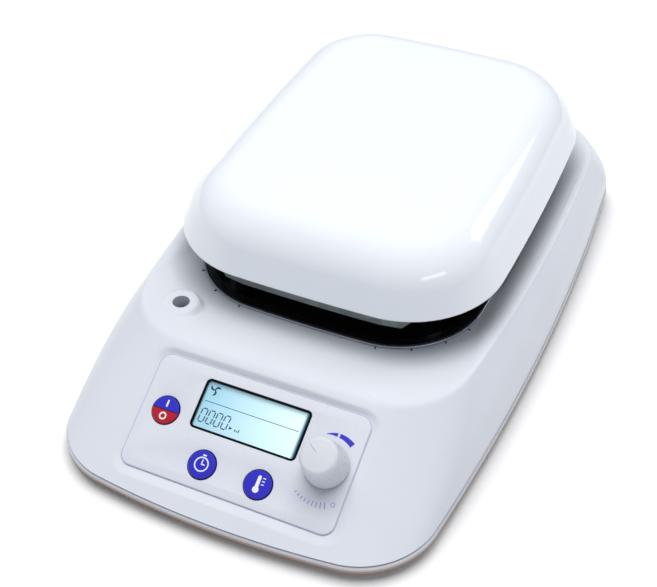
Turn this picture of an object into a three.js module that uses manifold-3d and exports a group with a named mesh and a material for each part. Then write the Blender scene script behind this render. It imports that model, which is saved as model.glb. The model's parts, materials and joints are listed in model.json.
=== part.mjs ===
// Hotplate magnetic stirrer: a glazed plate over a sloped-front plastic housing.
// Units are millimetres. +Z is up, -Y is the front, where the controls are.
// The origin is the centre of the footprint, at the level of the underside of the feet.

import * as THREE from 'three';
import { mergeVertices } from 'three/addons/utils/BufferGeometryUtils.js';
import Module from 'manifold-3d';

const wasm = await Module();
wasm.setup();

// ---- driving dimensions ----------------------------------------------------------------------

const GAP = 0.3;                  // clearance kept between pieces that touch
const FOOT_HEIGHT = 5;
const TRAY_TOP = 9.3;             // parting line between base tray and housing
const SEAM = 0.5;                 // groove at the parting line
const TRAY_PROUD = 0.8;           // tray stands this much outside the housing wall
const RIM_Z = 46.3;               // top edge of the housing wall, round the deck
const WELL_Z = 40.6;              // deck level at the edge of the heat shield
const PLATE_Y = 43.3;             // centre of the plate, behind the centre of the body
const PLATE_BOTTOM = 63.9;
const PLATE_TOP = 94.4;
const PLATE_WALL = 2.4;
const SHIELD_FLOOR = 31;

// Outlines with slightly bowed sides. halfWidth is at the widest place, and the radii are large.
const TRAY = { halfWidth: 106.1, front: -169.5, rear: 169.5, sideR: 1330, frontR: 480, rearR: 5000,
  frontCorner: 40, rearCorner: 25, wideY: 29 };
const WAIST = { halfWidth: 103.4, front: -134.75, rear: 164.4, sideR: 1200, frontR: 715, rearR: 2300,
  frontCorner: 50, rearCorner: 33, wideY: 44.5 };
const RIM = { halfWidth: 94.6, front: -100.8, rear: 158.9, sideR: 1100, frontR: 1400, rearR: 1500,
  frontCorner: 38, rearCorner: 40, wideY: 60 };
const WELL = { halfWidth: 77.5, front: -62.1, rear: 148.7, sideR: 1500, frontR: 800, rearR: 800,
  frontCorner: 46, rearCorner: 46, wideY: PLATE_Y };
const PLATE = { halfWidth: 87, front: -67, rear: 153.7, sideR: 1480, frontR: 1200, rearR: 750,
  frontCorner: 50.3, rearCorner: 50.9, wideY: PLATE_Y };

// Sloped control panel. Local x runs to the right, y up the slope and z out of the slope.
const PANEL_ORIGIN_Y = -122.2;
const RECESS_DEPTH = 2;
const OVERLAY = { halfWidth: 55.2, centreX: 0.6, bottom: -39.5, top: 17.6, corner: 6, thick: 0.4 };
const RECESS_BEVEL = 4;
const LCD = { centreX: -0.5, centreY: -0.6, width: 55.6, height: 25.2, frame: 2 };
const BUTTON_R = 6.7;
const BUTTONS = { power: [-41.7, -9.5], timer: [-14, -28], temp: [15, -28] };
const BUTTON_TRAVEL = 0.8;
const KNOB = { x: 42.2, y: -9.5, baseR: 10.8, topR: 9.1, height: 18.5 };
const PCB_TOP = -9.4;

const ROD = { x: -62.6, y: -75.8, holeR: 4.35, bossR: 9.7, bossFoot: 38.8 };
const MOTOR_R = 22;
const INLET = { x: 34, width: 50, height: 26, z: 25, faceY: 164.6 };
const SCREWS = [[-86, -40], [86, -40], [-88, 105], [88, 105]];
const FEET = [[-68, -134], [68, -134], [-76, 136], [76, 136]];
const STANDOFFS = [[-54, -30], [54, -30], [-54, 117], [54, 117]];

// ---- materials -------------------------------------------------------------------------------

function material(color, roughness, metalness = 0) {
  return new THREE.MeshStandardMaterial({ color, roughness, metalness });
}
const housingPlastic = material(0xe3e6ee, 0.38);
const glaze = material(0xf4f6fb, 0.12);
const blackEnamel = material(0x0c0d0f, 0.2);
const brightSteel = material(0xb9bcc0, 0.3, 1);
const sheetSteel = material(0x8f979a, 0.35, 1);
const whiteFelt = material(0xd9d4c6, 0.95);
const film = material(0xe6e9f2, 0.3);
const blackPlastic = material(0x111214, 0.35);
const clearWindow = material(0xdff2f5, 0.05);
const displayGlass = material(0xb9dbe4, 0.3);
const blueCap = material(0x3230c2, 0.3);
const redBlueCap = material(0x7a2468, 0.3);
const knobPlastic = material(0xeceef2, 0.35);
const boardGreen = material(0x1f5a37, 0.5);
const greyRubber = material(0x3a3b3d, 0.85);
const magnetPlate = material(0xc9ccd0, 0.25, 1);
const brassMetal = material(0xb8923f, 0.35, 1);
const heaterMica = material(0x8b6f4e, 0.7);

// ---- geometry helpers ------------------------------------------------------------------------

function toSolid(geometry) {
  const bare = geometry.clone();
  bare.deleteAttribute('normal');
  bare.deleteAttribute('uv');
  const merged = mergeVertices(bare, 1e-4);
  const vertProperties = new Float32Array(merged.attributes.position.array);
  const triVerts = new Uint32Array(merged.index.array);
  return new wasm.Manifold(new wasm.Mesh({ numProp: 3, vertProperties, triVerts }));
}

function toGeometry(solid) {
  const mesh = solid.getMesh();
  const geometry = new THREE.BufferGeometry();
  geometry.setAttribute('position', new THREE.BufferAttribute(new Float32Array(mesh.vertProperties), 3));
  geometry.setIndex(new THREE.BufferAttribute(new Uint32Array(mesh.triVerts), 1));
  geometry.computeVertexNormals();
  return geometry;
}

// Joins and cuts. Every argument is a geometry, and so is the result.
function combine(base, { add = [], cut = [] }) {
  let solid = toSolid(base);
  for (const piece of add) solid = solid.add(toSolid(piece));
  for (const piece of cut) solid = solid.subtract(toSolid(piece));
  return toGeometry(solid);
}

function overlapOf(a, b) {
  return toGeometry(toSolid(a).intersect(toSolid(b)));
}

function boxAt(x0, x1, y0, y1, z0, z1) {
  const geometry = new THREE.BoxGeometry(x1 - x0, y1 - y0, z1 - z0);
  return geometry.translate((x0 + x1) / 2, (y0 + y1) / 2, (z0 + z1) / 2);
}

function cylinderAt(x, y, z0, z1, radius, sides = 24, topRadius = radius) {
  const geometry = new THREE.CylinderGeometry(topRadius, radius, z1 - z0, sides);
  return geometry.rotateX(Math.PI / 2).translate(x, y, (z0 + z1) / 2);
}

function tubeAt(x, y, z0, z1, outer, inner, sides = 24) {
  const profile = [[inner, z0], [outer, z0], [outer, z1], [inner, z1], [inner, z0]];
  return latheAt(x, y, profile, sides);
}

// A body of revolution about a vertical axis at x, y, from [radius, height] points.
function latheAt(x, y, profile, sides = 24) {
  const points = profile.map(([r, z]) => new THREE.Vector2(r, z));
  return new THREE.LatheGeometry(points, sides).rotateX(Math.PI / 2).translate(x, y, 0);
}

// The point where circles of radius a about p and radius b about q cross, on the side of `side`.
function circleCrossing(p, a, q, b, side) {
  const d = p.distanceTo(q);
  const along = (a * a - b * b + d * d) / (2 * d);
  const off = Math.sqrt(a * a - along * along);
  const unit = q.clone().sub(p).divideScalar(d);
  const foot = p.clone().addScaledVector(unit, along);
  const normal = new THREE.Vector2(-unit.y, unit.x);
  const one = foot.clone().addScaledVector(normal, off);
  const two = foot.clone().addScaledVector(normal, -off);
  return one.distanceTo(side) < two.distanceTo(side) ? one : two;
}

const ARC_STEPS = { corner: 6, side: 4, end: 3 };

function arcPoints(centre, radius, from, to, steps) {
  const points = [];
  for (let i = 0; i < steps; i += 1) {
    const angle = from + (to - from) * i / steps;
    points.push(new THREE.Vector2(centre.x + radius * Math.cos(angle), centre.y + radius * Math.sin(angle)));
  }
  return points;
}

// Closed outline, anticlockwise from above: four large arcs joined by four tangent corner arcs.
function bowedOutline(shape, inset = 0) {
  const sideR = shape.sideR - inset;
  const frontR = shape.frontR - inset;
  const rearR = shape.rearR - inset;
  const frontCorner = Math.max(shape.frontCorner - inset, 1);
  const rearCorner = Math.max(shape.rearCorner - inset, 1);
  const side = new THREE.Vector2(shape.halfWidth - shape.sideR, shape.wideY);
  const front = new THREE.Vector2(0, shape.front + shape.frontR);
  const rear = new THREE.Vector2(0, shape.rear - shape.rearR);
  const nearFront = new THREE.Vector2(shape.halfWidth, shape.front);
  const nearRear = new THREE.Vector2(shape.halfWidth, shape.rear);
  const f = circleCrossing(side, sideR - frontCorner, front, frontR - frontCorner, nearFront);
  const r = circleCrossing(side, sideR - rearCorner, rear, rearR - rearCorner, nearRear);
  const angle = (centre, point) => Math.atan2(point.y - centre.y, point.x - centre.x);
  const half = [
    ...arcPoints(front, frontR, -Math.PI / 2, angle(front, f), ARC_STEPS.end),
    ...arcPoints(f, frontCorner, angle(front, f), angle(side, f), ARC_STEPS.corner),
    ...arcPoints(side, sideR, angle(side, f), angle(side, r), ARC_STEPS.side),
    ...arcPoints(r, rearCorner, angle(side, r), angle(rear, r), ARC_STEPS.corner),
    ...arcPoints(rear, rearR, angle(rear, r), Math.PI / 2, ARC_STEPS.end),
    new THREE.Vector2(0, shape.rear - inset),
  ];
  const mirrored = half.slice(1, -1).reverse().map((p) => new THREE.Vector2(-p.x, p.y));
  return [...half, ...mirrored];
}

function roundedRectangle(x0, x1, y0, y1, radius, steps = 5) {
  const corner = (x, y, start) => {
    const end = start + Math.PI / 2;
    const last = new THREE.Vector2(x + radius * Math.cos(end), y + radius * Math.sin(end));
    return [...arcPoints(new THREE.Vector2(x, y), radius, start, end, steps), last];
  };
  return [
    ...corner(x1 - radius, y0 + radius, -Math.PI / 2),
    ...corner(x1 - radius, y1 - radius, 0),
    ...corner(x0 + radius, y1 - radius, Math.PI / 2),
    ...corner(x0 + radius, y0 + radius, Math.PI),
  ];
}

function ring(outline, z) {
  return outline.map((p) => new THREE.Vector3(p.x, p.y, z));
}

function blendRings(a, b, t, z) {
  return a.map((p, i) => new THREE.Vector3(p.x + (b[i].x - p.x) * t, p.y + (b[i].y - p.y) * t, z));
}

// Rings up a wall that curves through three outlines: at its foot, half way up and at its top.
function wallRings(shapes, zLow, zHigh) {
  const [foot, waist, top] = shapes.map((shape) => bowedOutline(shape));
  return [0, 0.25, 0.5, 0.75, 1].map((s) => {
    const weights = [(1 - s) * (1 - 2 * s), 4 * s * (1 - s), s * (2 * s - 1)];
    return foot.map((p, i) => new THREE.Vector3(
      weights[0] * p.x + weights[1] * waist[i].x + weights[2] * top[i].x,
      weights[0] * p.y + weights[1] * waist[i].y + weights[2] * top[i].y,
      zLow + s * (zHigh - zLow),
    ));
  });
}

// Skin over rings of equal length. A sleeve joins its last ring to its first; otherwise both ends are capped.
function loft(rings, { sleeve = false } = {}) {
  const count = rings[0].length;
  const positions = rings.flat().flatMap((p) => [p.x, p.y, p.z]);
  const index = [];
  const bands = sleeve ? rings.length : rings.length - 1;
  for (let i = 0; i < bands; i += 1) {
    const low = i * count;
    const high = ((i + 1) % rings.length) * count;
    for (let j = 0; j < count; j += 1) {
      const k = (j + 1) % count;
      index.push(low + j, low + k, high + k, low + j, high + k, high + j);
    }
  }
  if (!sleeve) {
    const cap = (r) => THREE.ShapeUtils.triangulateShape(r.map((p) => new THREE.Vector2(p.x, p.y)), []);
    for (const [a, b, c] of cap(rings[0])) index.push(a, c, b);
    const last = (rings.length - 1) * count;
    for (const [a, b, c] of cap(rings[rings.length - 1])) index.push(last + a, last + b, last + c);
  }
  const geometry = new THREE.BufferGeometry();
  geometry.setAttribute('position', new THREE.Float32BufferAttribute(positions, 3));
  geometry.setIndex(index);
  return geometry;
}

function slab(outline, z0, z1) {
  return loft([ring(outline, z0), ring(outline, z1)]);
}

// Two geometries in one outline: the outer slab with the inner one cut right through it.
function frameSlab(outer, inner, z0, z1) {
  return combine(slab(outer, z0, z1), { cut: [slab(inner, z0 - 1, z1 + 1)] });
}

// ---- the slope of the front ------------------------------------------------------------------

const housingFrontY = TRAY.front + TRAY_PROUD;
const housingBottom = TRAY_TOP + SEAM;
const PANEL_TILT = Math.atan2(RIM_Z - housingBottom, RIM.front - housingFrontY);
const panelOriginZ = housingBottom + (PANEL_ORIGIN_Y - housingFrontY) * Math.tan(PANEL_TILT);

const stirrer = new THREE.Group();
const panel = new THREE.Group();
panel.position.set(0, PANEL_ORIGIN_Y, panelOriginZ);
panel.rotation.x = PANEL_TILT;
panel.updateMatrix();
stirrer.add(panel);

function onPanel(geometry) {
  return geometry.clone().applyMatrix4(panel.matrix);
}

function addPart(name, geometry, surface, group = stirrer) {
  const mesh = new THREE.Mesh(geometry, surface);
  mesh.name = name;
  group.add(mesh);
}

// ---- housing ---------------------------------------------------------------------------------

function housingShell() {
  const wall = 2.6;
  const foot = { ...TRAY, halfWidth: TRAY.halfWidth - TRAY_PROUD, front: housingFrontY,
    rear: TRAY.rear - TRAY_PROUD };
  const hollowed = (shape, front) => ({ ...shape, halfWidth: shape.halfWidth - wall, front: shape.front + front,
    rear: shape.rear - wall });
  const rim = bowedOutline(RIM);
  const well = bowedOutline(WELL);
  const opening = bowedOutline(WELL, 4);
  const dish = [[0.12, -0.1], [0.3, -0.9], [0.55, -3], [0.8, -4.9]];
  return loft([
    ...wallRings([foot, WAIST, RIM], housingBottom, RIM_Z),
    ...dish.map(([t, drop]) => blendRings(rim, well, t, RIM_Z + drop)),
    ring(well, WELL_Z),
    ring(opening, WELL_Z),
    ring(opening, WELL_Z - 2.6),
    ring(bowedOutline(WELL, -4), WELL_Z - 2.6),
    ...wallRings([hollowed(foot, 8), hollowed(WAIST, 6.5), hollowed(RIM, 5)], housingBottom, RIM_Z - 3.3)
      .reverse(),
  ], { sleeve: true });
}

function recessCutter() {
  const { halfWidth, centreX, bottom, top, corner } = OVERLAY;
  const grow = (d, z) => ring(roundedRectangle(centreX - halfWidth - d, centreX + halfWidth + d,
    bottom - d, top + d * 0.7, corner + d), z);
  return onPanel(loft([grow(GAP, -RECESS_DEPTH), grow(RECESS_BEVEL, 0), grow(RECESS_BEVEL + 2, 3)]));
}

function lcdOutline(shrink) {
  const halfX = LCD.width / 2 - shrink;
  const halfY = LCD.height / 2 - shrink;
  return roundedRectangle(LCD.centreX - halfX, LCD.centreX + halfX, LCD.centreY - halfY, LCD.centreY + halfY,
    Math.max(2.6 - shrink, 0.6), 3);
}

function panelCutters() {
  const cutters = [recessCutter(), onPanel(slab(lcdOutline(0), -12, 1))];
  for (const [x, y] of Object.values(BUTTONS)) {
    cutters.push(onPanel(cylinderAt(x, y, -12, 1, BUTTON_R + 0.3)));
    cutters.push(onPanel(cylinderAt(x, y, -12, -4.8, BUTTON_R + 1.9)));
  }
  cutters.push(onPanel(cylinderAt(KNOB.x, KNOB.y, -12, 1, 4.8)));
  cutters.push(onPanel(boxAt(KNOB.x - 7, KNOB.x + 7, KNOB.y - 7, KNOB.y + 7, -12, -5.4)));
  return cutters;
}

function topHousing() {
  const { x, width, height, z, faceY } = INLET;
  const aroundInlet = (growX, growZ, y0, y1) => boxAt(x - width / 2 - growX, x + width / 2 + growX, y0, y1,
    z - height / 2 - growZ, z + height / 2 + growZ);
  const pad = aroundInlet(3, 1.5, faceY - 9, faceY);
  const padCut = aroundInlet(3, 1.5, faceY, faceY + 9);
  const inletHole = aroundInlet(-2, -2, faceY - 20, faceY + 1);
  const posts = SCREWS.map(([px, py]) => cylinderAt(px, py, housingBottom, RIM_Z - 2.4, 4.6, 16));
  const postBores = SCREWS.map(([px, py]) => cylinderAt(px, py, housingBottom - 1, 26, 2, 12));
  return combine(housingShell(), {
    add: [pad, ...posts, cylinderAt(ROD.x, ROD.y, ROD.bossFoot, RIM_Z - 0.1, ROD.bossR, 32)],
    cut: [
      padCut,
      inletHole,
      ...postBores,
      cylinderAt(ROD.x, ROD.y, ROD.bossFoot - 1, RIM_Z + 1, ROD.holeR, 24),
      ...panelCutters(),
    ],
  });
}
addPart('top_housing', topHousing(), housingPlastic);
addPart('rod_socket', tubeAt(ROD.x, ROD.y, 20.3, ROD.bossFoot - GAP, 7, ROD.holeR), brightSteel);

// ---- base tray, feet and screws --------------------------------------------------------------

function baseTray() {
  const floorTop = FOOT_HEIGHT + 2.2;
  const shell = loft([
    ring(bowedOutline(TRAY, 1.4), FOOT_HEIGHT),
    ring(bowedOutline(TRAY), FOOT_HEIGHT + 1.2),
    ring(bowedOutline(TRAY, 0.1), TRAY_TOP - 0.5),
    ring(bowedOutline(TRAY, 0.6), TRAY_TOP),
    ring(bowedOutline(TRAY, 3.6), TRAY_TOP),
    ring(bowedOutline(TRAY, 3.8), floorTop),
  ]);
  const cuts = [];
  for (const [x, y] of SCREWS) {
    cuts.push(cylinderAt(x, y, FOOT_HEIGHT - 1, FOOT_HEIGHT + 1.4, 4.2, 16));
    cuts.push(cylinderAt(x, y, FOOT_HEIGHT - 1, floorTop + 1, 2, 12));
  }
  for (let i = 0; i < 7; i += 1) {
    const y = 8 + i * 9;
    cuts.push(boxAt(-28, 28, y, y + 3.5, FOOT_HEIGHT - 1, floorTop + 1));
  }
  return combine(shell, { cut: cuts });
}
addPart('base_tray', baseTray(), housingPlastic);

FEET.forEach(([x, y], i) => {
  addPart(`foot_${i + 1}`, cylinderAt(x, y, 0, FOOT_HEIGHT - GAP, 8.5, 24, 9.5), greyRubber);
});

SCREWS.forEach(([x, y], i) => {
  const head = FOOT_HEIGHT + 0.1;
  const profile = [[0, head], [3.8, head], [3.8, head + 1], [1.7, head + 1], [1.7, 24], [0, 24]];
  addPart(`base_screw_${i + 1}`, latheAt(x, y, profile, 12), brightSteel);
});

// ---- heat shield under the plate -------------------------------------------------------------

function heatShield() {
  const rimTop = WELL_Z + GAP + 1.2;
  const rimUnder = WELL_Z + GAP;
  const sheet = 1.2;
  const shell = loft([
    ring(bowedOutline(WELL, 5.6), SHIELD_FLOOR),
    ring(bowedOutline(WELL, 4.4), SHIELD_FLOOR + 1.5),
    ring(bowedOutline(WELL, 4.4), rimUnder),
    ring(bowedOutline(WELL, 0.6), rimUnder),
    ring(bowedOutline(WELL, 0.6), rimTop),
    ring(bowedOutline(WELL, 4.4 + sheet), rimTop),
    ring(bowedOutline(WELL, 4.4 + sheet), SHIELD_FLOOR + sheet + 1),
    ring(bowedOutline(WELL, 5.6 + sheet), SHIELD_FLOOR + sheet),
  ]);
  return combine(shell, { cut: [cylinderAt(0, PLATE_Y, SHIELD_FLOOR - 1, SHIELD_FLOOR + 3, 9)] });
}
addPart('heat_shield', heatShield(), blackEnamel);
addPart('shield_trim', frameSlab(bowedOutline(WELL, -0.8), bowedOutline(WELL, 0.3), WELL_Z + 0.75,
  WELL_Z + 1.5), brightSteel);

// ---- hotplate --------------------------------------------------------------------------------

function hotplate() {
  const cavity = [[18, 22.5], [12.5, 19], [7.9, 13], [PLATE_WALL, 0]];
  const lip = [[1.2, 0], [0.3, 0.3], [0.05, 1]];
  const height = PLATE_TOP - PLATE_BOTTOM;
  const shoulder = new THREE.Vector2(5.15, 13);
  const flatEdge = new THREE.Vector2(30, height);
  const wallMeetsTop = new THREE.Vector2(shoulder.x * height / shoulder.y, height);
  const rounding = new THREE.CubicBezierCurve(
    shoulder,
    shoulder.clone().lerp(wallMeetsTop, 0.6),
    flatEdge.clone().lerp(wallMeetsTop, 0.6),
    flatEdge,
  ).getPoints(8).map((p) => [p.x, p.y]);
  return loft([...cavity, ...lip, ...rounding]
    .map(([inset, rise]) => ring(bowedOutline(PLATE, inset), PLATE_BOTTOM + rise)));
}
addPart('hotplate', hotplate(), glaze);

const trayFlat = PLATE_BOTTOM + GAP;
const heaterUnder = PLATE_TOP - 12.5;
addPart('heater_element', slab(bowedOutline(PLATE, 19), heaterUnder, PLATE_TOP - 8 - GAP), heaterMica);
addPart('insulation_pad', combine(slab(bowedOutline(PLATE, 12.5), trayFlat + 1.5, heaterUnder - GAP),
  { cut: [cylinderAt(24, PLATE_Y, trayFlat, PLATE_TOP, 4, 16)] }), whiteFelt);
addPart('temperature_sensor', cylinderAt(24, PLATE_Y, trayFlat + 1.5, heaterUnder - GAP, 3, 16), brightSteel);

// Folded sheet tray that closes the plate from below. Its four flanges hang down and have open corners.
function plateTray() {
  const sheet = 1.2;
  const flatTop = trayFlat + sheet;
  const trapezoid = (from, to, drop) => new THREE.Shape([[from + 4, drop], [to - 4, drop], [to, drop + 4],
    [to, flatTop], [from, flatTop], [from, drop + 4]].map(([u, v]) => new THREE.Vector2(u, v)));
  const prism = (shape) => new THREE.ExtrudeGeometry(shape, { depth: 400, bevelEnabled: false })
    .rotateX(Math.PI / 2).translate(0, 200 + PLATE_Y, 0);
  const skirt = (inset) => frameSlab(bowedOutline(PLATE, inset), bowedOutline(PLATE, inset + sheet), 40,
    flatTop);
  const frontAndRear = overlapOf(skirt(9.3), prism(trapezoid(-52, 52, 51.5)));
  const sides = overlapOf(skirt(PLATE_WALL + 2.4),
    prism(trapezoid(-62 - PLATE_Y, 2, 47)).rotateZ(-Math.PI / 2));
  const sheetOutline = bowedOutline(PLATE, PLATE_WALL + 1.1);
  return combine(slab(sheetOutline, trayFlat, flatTop), { add: [frontAndRear, sides] });
}
addPart('plate_tray', plateTray(), sheetSteel);

STANDOFFS.forEach(([x, y], i) => {
  const post = cylinderAt(x, y, SHIELD_FLOOR + 1.2 + GAP, trayFlat - GAP, 5.2, 6);
  addPart(`plate_standoff_${i + 1}`, post, sheetSteel);
});
addPart('thermal_cutout', cylinderAt(-48, PLATE_Y, trayFlat - GAP - 6, trayFlat - GAP, 8, 20), blackPlastic);

// ---- stirring drive --------------------------------------------------------------------------

const bracketTop = SHIELD_FLOOR - GAP;
const carrierTop = 61;
const motorTop = bracketTop - 1.5 - GAP;
addPart('motor_bracket', combine(boxAt(-38, 38, PLATE_Y - 26, PLATE_Y + 26, bracketTop - 1.5, bracketTop),
  { cut: [cylinderAt(0, PLATE_Y, 0, 60, 6)] }), sheetSteel);
addPart('drive_motor', combine(cylinderAt(0, PLATE_Y, 10, motorTop, MOTOR_R, 32),
  { cut: [cylinderAt(0, PLATE_Y, 18, 40, 2.8, 16)] }), brightSteel);
addPart('motor_shaft', cylinderAt(0, PLATE_Y, 18.3, carrierTop - 2, 2.5, 16), brightSteel);

function magnetCarrier() {
  const pockets = [-17, 17].map((x) => cylinderAt(x, PLATE_Y, carrierTop - 5.5, carrierTop + 1, 7.3));
  return combine(cylinderAt(0, PLATE_Y, carrierTop - 7, carrierTop, 27, 32),
    { cut: [...pockets, cylinderAt(0, PLATE_Y, carrierTop - 8, carrierTop + 1, 2.8, 16)] });
}
addPart('magnet_carrier', magnetCarrier(), blackPlastic);
[-17, 17].forEach((x, i) => {
  addPart(`magnet_${i + 1}`, cylinderAt(x, PLATE_Y, carrierTop - 5.2, carrierTop, 7), magnetPlate);
});

// ---- control panel ---------------------------------------------------------------------------

const overlayTop = -RECESS_DEPTH + GAP + OVERLAY.thick;

function controlOverlay() {
  const { halfWidth, centreX, bottom, top, corner, thick } = OVERLAY;
  const sheet = slab(roundedRectangle(centreX - halfWidth, centreX + halfWidth, bottom, top, corner),
    overlayTop - thick, overlayTop);
  const holes = Object.values(BUTTONS).map(([x, y]) => cylinderAt(x, y, -5, 2, BUTTON_R + 0.3));
  holes.push(cylinderAt(KNOB.x, KNOB.y, -5, 2, 4.8));
  holes.push(slab(lcdOutline(0), -5, 2));
  return combine(sheet, { cut: holes });
}
addPart('control_overlay', controlOverlay(), film, panel);

const LCD_FACE = -3.6;
addPart('lcd_bezel', frameSlab(lcdOutline(0.3), lcdOutline(LCD.frame), -6.4, overlayTop + 0.2),
  blackPlastic, panel);
addPart('lcd_window', slab(lcdOutline(LCD.frame + 0.3), -2.6, -1.7), clearWindow, panel);
addPart('lcd_module', slab(lcdOutline(LCD.frame + 0.3), PCB_TOP + GAP, LCD_FACE), displayGlass, panel);

const BUTTON_TOP = overlayTop + 1;
for (const [name, [x, y]] of Object.entries(BUTTONS)) {
  const r = BUTTON_R;
  const profile = [[0, -5.9], [r + 1.5, -5.9], [r + 1.5, -5.1], [r, -5.1], [r, BUTTON_TOP - 0.7],
    [r - 0.7, BUTTON_TOP], [0, BUTTON_TOP + 0.1]];
  addPart(`${name}_button`, latheAt(x, y, profile, 28), name === 'power' ? redBlueCap : blueCap, panel);
  const switchTop = -5.9 - BUTTON_TRAVEL - 0.2;
  addPart(`${name}_switch`, boxAt(x - 3, x + 3, y - 3, y + 3, PCB_TOP + GAP, switchTop), blackPlastic, panel);
}

addPart('control_pcb', boxAt(-53, 53, -35, 20, PCB_TOP - 1.6, PCB_TOP), boardGreen, panel);

// ---- rotary encoder and knob -----------------------------------------------------------------

const encoderTop = -5.7;
const encoderBlock = boxAt(KNOB.x - 6.5, KNOB.x + 6.5, KNOB.y - 6.5, KNOB.y + 6.5, PCB_TOP + GAP, encoderTop);
addPart('encoder_body', combine(encoderBlock, { cut: [cylinderAt(KNOB.x, KNOB.y, -8.6, 0, 3.9)] }),
  blackPlastic, panel);
addPart('encoder_bush', tubeAt(KNOB.x, KNOB.y, encoderTop + GAP, 1.6, 4.4, 3.3), brassMetal, panel);
addPart('encoder_nut', combine(cylinderAt(KNOB.x, KNOB.y, overlayTop + GAP, 1, 6.4, 6),
  { cut: [cylinderAt(KNOB.x, KNOB.y, -5, 5, 4.7)] }), brightSteel, panel);
addPart('encoder_plunger', cylinderAt(KNOB.x, KNOB.y, -7.4, -6.6, 3.5, 20), brightSteel, panel);
addPart('encoder_shaft', cylinderAt(KNOB.x, KNOB.y, -6.3, 12.4, 3, 20), brightSteel, panel);

function speedKnob() {
  const foot = overlayTop + 1;
  const top = foot + KNOB.height;
  const { baseR, topR } = KNOB;
  return latheAt(KNOB.x, KNOB.y, [[0, 12.7], [3.3, 12.7], [3.3, 2.6], [7.4, 2.6], [7.4, foot], [baseR, foot],
    [baseR, foot + 1.2], [topR + 0.4, top - 3], [topR - 0.3, top - 1], [topR - 2, top - 0.2], [0, top]], 36);
}
addPart('speed_knob', speedKnob(), knobPlastic, panel);

// ---- mains side ------------------------------------------------------------------------------

const SOCKET = { x: INLET.x + 8, halfX: 12.2, halfZ: 8.2, depth: 17 };
const DRAWER = { x: INLET.x - 16, halfX: 4.5, halfZ: 8, depth: 18 };

function iecInlet() {
  const { x, width, height, z, faceY } = INLET;
  const face = faceY + GAP;
  const flange = boxAt(x - width / 2, x + width / 2, face, face + 2.5, z - height / 2, z + height / 2);
  const body = boxAt(x - width / 2 + 2.4, x + width / 2 - 2.4, face - 19.5, face + 1,
    z - height / 2 + 2.4, z + height / 2 - 2.4);
  const socket = boxAt(SOCKET.x - SOCKET.halfX, SOCKET.x + SOCKET.halfX, face + 2.5 - SOCKET.depth, face + 4,
    z - SOCKET.halfZ, z + SOCKET.halfZ);
  const slot = boxAt(DRAWER.x - DRAWER.halfX, DRAWER.x + DRAWER.halfX, face + 2.5 - DRAWER.depth, face + 4,
    z - DRAWER.halfZ, z + DRAWER.halfZ);
  return combine(flange, { add: [body], cut: [socket, slot] });
}
addPart('iec_inlet', iecInlet(), blackPlastic);

const inletFace = INLET.faceY + GAP + 2.5;
[[-7, 0], [0, 4], [7, 0]].forEach(([dx, dz], i) => {
  const x = SOCKET.x + dx;
  const z = INLET.z + dz;
  const pin = boxAt(x - 1, x + 1, inletFace - SOCKET.depth + GAP, inletFace - 4, z - 2, z + 2);
  addPart(`inlet_pin_${i + 1}`, pin, brassMetal);
});
addPart('fuse_drawer', boxAt(DRAWER.x - DRAWER.halfX + GAP, DRAWER.x + DRAWER.halfX - GAP,
  inletFace - DRAWER.depth + 0.5, inletFace + 1, INLET.z - DRAWER.halfZ + GAP,
  INLET.z + DRAWER.halfZ - GAP), blackPlastic);

const boardTop = 12;
addPart('power_board', boxAt(-76, 2, 78, 146, boardTop - 1.6, boardTop), boardGreen);
addPart('transformer', boxAt(-70, -40, 84, 112, boardTop + GAP, boardTop + 16), material(0x5a4a32, 0.6));
addPart('heater_relay', boxAt(-34, -15, 84, 99, boardTop + GAP, boardTop + 15), material(0x2456a8, 0.4));
addPart('filter_capacitor', cylinderAt(-26, 124, boardTop + GAP, boardTop + 15, 8, 20), blackPlastic);

export default stirrer;
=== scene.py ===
import json
import math
from collections import namedtuple

import bmesh
import bpy
import numpy as np
from mathutils import Matrix, Vector


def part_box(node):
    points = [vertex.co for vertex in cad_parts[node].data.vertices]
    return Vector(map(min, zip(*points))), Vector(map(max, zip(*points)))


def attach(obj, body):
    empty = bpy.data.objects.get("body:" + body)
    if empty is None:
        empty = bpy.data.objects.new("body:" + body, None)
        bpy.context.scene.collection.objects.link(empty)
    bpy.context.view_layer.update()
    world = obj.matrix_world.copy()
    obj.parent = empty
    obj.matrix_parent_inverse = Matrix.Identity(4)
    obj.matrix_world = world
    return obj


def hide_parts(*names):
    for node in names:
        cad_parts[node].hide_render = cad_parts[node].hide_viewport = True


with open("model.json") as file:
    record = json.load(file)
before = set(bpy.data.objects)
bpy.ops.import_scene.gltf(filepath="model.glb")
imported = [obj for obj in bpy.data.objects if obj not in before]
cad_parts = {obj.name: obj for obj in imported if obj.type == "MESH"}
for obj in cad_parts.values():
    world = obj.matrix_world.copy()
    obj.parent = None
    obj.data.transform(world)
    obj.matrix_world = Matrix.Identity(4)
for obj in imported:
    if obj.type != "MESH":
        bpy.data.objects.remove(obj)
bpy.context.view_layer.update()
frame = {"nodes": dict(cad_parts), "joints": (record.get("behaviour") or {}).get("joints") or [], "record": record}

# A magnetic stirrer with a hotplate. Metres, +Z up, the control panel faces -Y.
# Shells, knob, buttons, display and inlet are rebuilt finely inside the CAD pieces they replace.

MM = 0.001
CHASSIS = "chassis"
BUTTON_NODES = ("power_button", "timer_button", "temp_button")


def middle(low, high):
    """The centre of a box, seen from above."""
    return (low.x + high.x) / 2, (low.y + high.y) / 2


# ---- sizes taken from the frame, and the few that the frame doesn't hold ----

plate_low, plate_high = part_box("hotplate")
tray_low, tray_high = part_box("base_tray")
shell_low, shell_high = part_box("top_housing")
shield_low, shield_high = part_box("heat_shield")
trim_low, trim_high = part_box("shield_trim")
rod_low, rod_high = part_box("rod_socket")

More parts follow.
